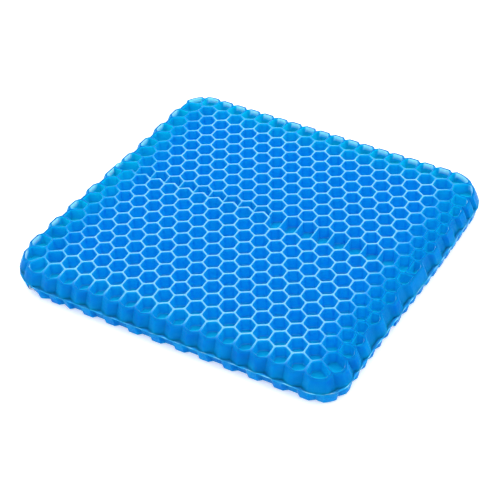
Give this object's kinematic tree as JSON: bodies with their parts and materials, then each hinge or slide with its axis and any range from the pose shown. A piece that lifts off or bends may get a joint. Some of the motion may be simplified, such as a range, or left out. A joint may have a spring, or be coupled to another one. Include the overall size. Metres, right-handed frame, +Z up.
{
  "type": "seat cushion",
  "caption": "Double-sided honeycomb gel seat cushion, rounded square, translucent blue, open hexagonal cells on both faces, folding across the middle.",
  "frame": {"origin": "centre of the cushion's outline, on the surface that it rests on", "axes": "+X along the fold line, the longer side; +Y to the rear edge; +Z up, out of the seat face"},
  "size_m": [0.4, 0.368, 0.034],
  "materials": {
    "gel_blue": "glossy translucent thermoplastic gel",
    "gel_web_blue": "glossy translucent thermoplastic gel, thin"
  },
  "bodies": {
    "rear_half": {"rear_upper_comb": "gel_blue", "rear_parting_web": "gel_web_blue", "rear_lower_comb": "gel_blue"},
    "front_half": {"front_upper_comb": "gel_blue", "front_parting_web": "gel_web_blue", "front_lower_comb": "gel_blue"}
  },
  "joints": [
    {"name": "centre_fold", "type": "hinge", "parent": "rear_half", "child": "front_half", "pos_m": [0, 0, 0.03415], "axis": [-1, 0, 0], "range_deg": [0, 180], "stiffness_Nm_per_rad": 0.1}
  ]
}
